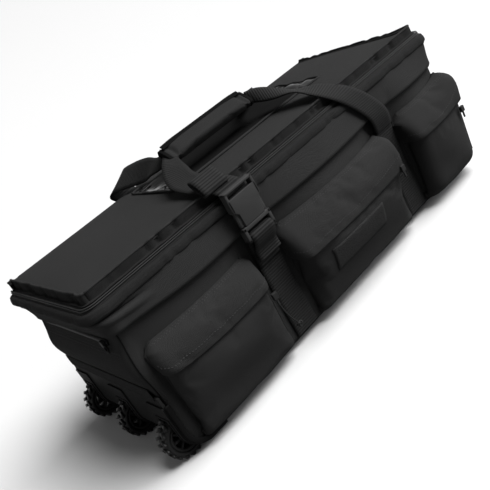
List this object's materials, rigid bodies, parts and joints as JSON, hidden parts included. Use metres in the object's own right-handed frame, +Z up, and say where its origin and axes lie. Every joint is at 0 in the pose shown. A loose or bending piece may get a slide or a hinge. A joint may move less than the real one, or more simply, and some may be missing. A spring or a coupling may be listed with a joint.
{
  "type": "rolling duffel bag",
  "caption": "Long soft rolling duffel bag with a zipped lid, zipped front pockets, wrapped carrying handle, webbing straps with a side-release buckle, and wheels at one end.",
  "frame": {"origin": "centre of the bounding box at floor level", "axes": "+X along the bag away from the wheels, -Y out of the pockets, +Z up"},
  "size_m": [0.897, 0.4061, 0.385],
  "materials": {
    "fabric": "woven polyester",
    "base_fabric": "coated polyester over board",
    "window": "clear soft vinyl",
    "zip": "coil zip tape",
    "pile": "loop pile",
    "webbing": "ribbed webbing",
    "moulding": "satin moulded plastic",
    "hub": "satin moulded plastic",
    "tyre": "treaded rubber",
    "axle": "plain steel",
    "slider": "black painted metal",
    "cord": "braided cord"
  },
  "bodies": {
    "bag": {"front_panel": "fabric", "back_panel": "fabric", "wheel_end_panel": "fabric", "far_end_panel": "fabric", "collar_front": "fabric", "collar_wheel_end": "fabric", "collar_far_end": "fabric", "pocket_1_body": "fabric", "pocket_2_body": "fabric", "pocket_3_body": "fabric", "bottom_board": "base_fabric", "main_zip": "zip", "end_pocket_zip": "zip", "hook_loop_patch": "pile", "front_strap_near": "webbing", "front_strap_far": "webbing", "back_strap_near": "webbing", "back_strap_far": "webbing", "tow_anchor_front": "webbing", "tow_anchor_back": "webbing", "kick_plate": "moulding", "wheel_housing_1": "moulding", "wheel_housing_2": "moulding", "wheel_housing_3": "moulding", "skid_foot_front": "moulding", "skid_foot_back": "moulding", "wheel_axle_1": "axle", "wheel_axle_2": "axle", "wheel_axle_3": "axle"},
    "lid": {"lid_panel": "fabric", "lid_window": "window"},
    "front_handle": {"handle_grip": "fabric", "front_handle_leg_near": "webbing", "front_handle_leg_far": "webbing", "buckle_female": "moulding"},
    "rear_handle": {"rear_handle": "webbing"},
    "buckle_male": {"buckle_male": "moulding", "buckle_lower_strap": "webbing"},
    "buckle_arm_left": {"buckle_arm_left": "moulding"},
    "buckle_arm_right": {"buckle_arm_right": "moulding"},
    "tow_handle": {"tow_handle_near_leg": "webbing", "tow_handle_far_leg": "webbing", "tow_handle_sleeve": "fabric"},
    "end_pocket_slider": {"end_pocket_slider": "slider"},
    "main_zip_slider": {"main_zip_slider": "slider"},
    "wheel_1": {"wheel_hub_1": "hub", "wheel_tyre_1": "tyre"},
    "pocket_1_cap": {"pocket_1_cap": "fabric"},
    "pocket_1_slider": {"pocket_1_slider": "slider", "pocket_1_pull_cord": "cord"},
    "wheel_2": {"wheel_hub_2": "hub", "wheel_tyre_2": "tyre"},
    "pocket_2_cap": {"pocket_2_cap": "fabric"},
    "pocket_2_slider": {"pocket_2_slider": "slider"},
    "wheel_3": {"wheel_hub_3": "hub", "wheel_tyre_3": "tyre"},
    "pocket_3_cap": {"pocket_3_cap": "fabric"},
    "pocket_3_slider": {"pocket_3_slider": "slider"}
  },
  "joints": [
    {"name": "lid_open", "type": "hinge", "parent": "bag", "child": "lid", "pos_m": [0, 0.1819, 0.302], "axis": [-1, 0, 0], "range_deg": [0, 78]},
    {"name": "front_handle_swing", "type": "hinge", "parent": "bag", "child": "front_handle", "pos_m": [0, -0.1981, 0.13], "axis": [1, 0, 0], "range_deg": [0, 150]},
    {"name": "rear_handle_swing", "type": "hinge", "parent": "bag", "child": "rear_handle", "pos_m": [0, 0.1819, 0.302], "axis": [-1, 0, 0], "range_deg": [0, 92]},
    {"name": "buckle_release", "type": "slide", "parent": "front_handle", "child": "buckle_male", "axis": [0, 0, -1], "range_m": [0, 0.03]},
    {"name": "buckle_arm_left_squeeze", "type": "slide", "parent": "buckle_male", "child": "buckle_arm_left", "axis": [1, 0, 0], "range_m": [0, 0.004], "stiffness_N_per_m": 400},
    {"name": "buckle_arm_right_squeeze", "type": "slide", "parent": "buckle_male", "child": "buckle_arm_right", "axis": [-1, 0, 0], "range_m": [0, 0.004], "stiffness_N_per_m": 400},
    {"name": "tow_handle_swing", "type": "hinge", "parent": "bag", "child": "tow_handle", "pos_m": [0.4184, 0.0169, 0.175], "axis": [0, -1, 0], "range_deg": [0, 90]},
    {"name": "end_pocket_slide", "type": "slide", "parent": "bag", "child": "end_pocket_slider", "axis": [0, 1, 0], "range_m": [0, 0.22]},
    {"name": "main_zip_slide", "type": "slide", "parent": "bag", "child": "main_zip_slider", "axis": [0, -1, 0], "range_m": [0, 0.24]},
    {"name": "wheel_1_spin", "type": "hinge", "parent": "bag", "child": "wheel_1", "pos_m": [-0.4105, 0.1559, 0.038], "axis": [0, 1, 0], "continuous": true},
    {"name": "pocket_1_open", "type": "hinge", "parent": "bag", "child": "pocket_1_cap", "pos_m": [0, -0.1485, 0.205], "axis": [-1, 0, 0], "range_deg": [0, 65]},
    {"name": "pocket_1_slide", "type": "slide", "parent": "bag", "child": "pocket_1_slider", "axis": [-1, 0, 0], "range_m": [0, 0.184]},
    {"name": "wheel_2_spin", "type": "hinge", "parent": "bag", "child": "wheel_2", "pos_m": [-0.4105, 0.0169, 0.038], "axis": [0, 1, 0], "continuous": true},
    {"name": "pocket_2_open", "type": "hinge", "parent": "bag", "child": "pocket_2_cap", "pos_m": [0, -0.1485, 0.205], "axis": [-1, 0, 0], "range_deg": [0, 65]},
    {"name": "pocket_2_slide", "type": "slide", "parent": "bag", "child": "pocket_2_slider", "axis": [-1, 0, 0], "range_m": [0, 0.254]},
    {"name": "wheel_3_spin", "type": "hinge", "parent": "bag", "child": "wheel_3", "pos_m": [-0.4105, -0.1221, 0.038], "axis": [0, 1, 0], "continuous": true},
    {"name": "pocket_3_open", "type": "hinge", "parent": "bag", "child": "pocket_3_cap", "pos_m": [0, -0.1485, 0.205], "axis": [-1, 0, 0], "range_deg": [0, 65]},
    {"name": "pocket_3_slide", "type": "slide", "parent": "bag", "child": "pocket_3_slider", "axis": [-1, 0, 0], "range_m": [0, 0.118]}
  ],
  "couplings": [
    {"joint": "front_handle_swing", "follows": "lid_open", "ratio": 1.9},
    {"joint": "rear_handle_swing", "follows": "lid_open", "ratio": 1.15}
  ]
}
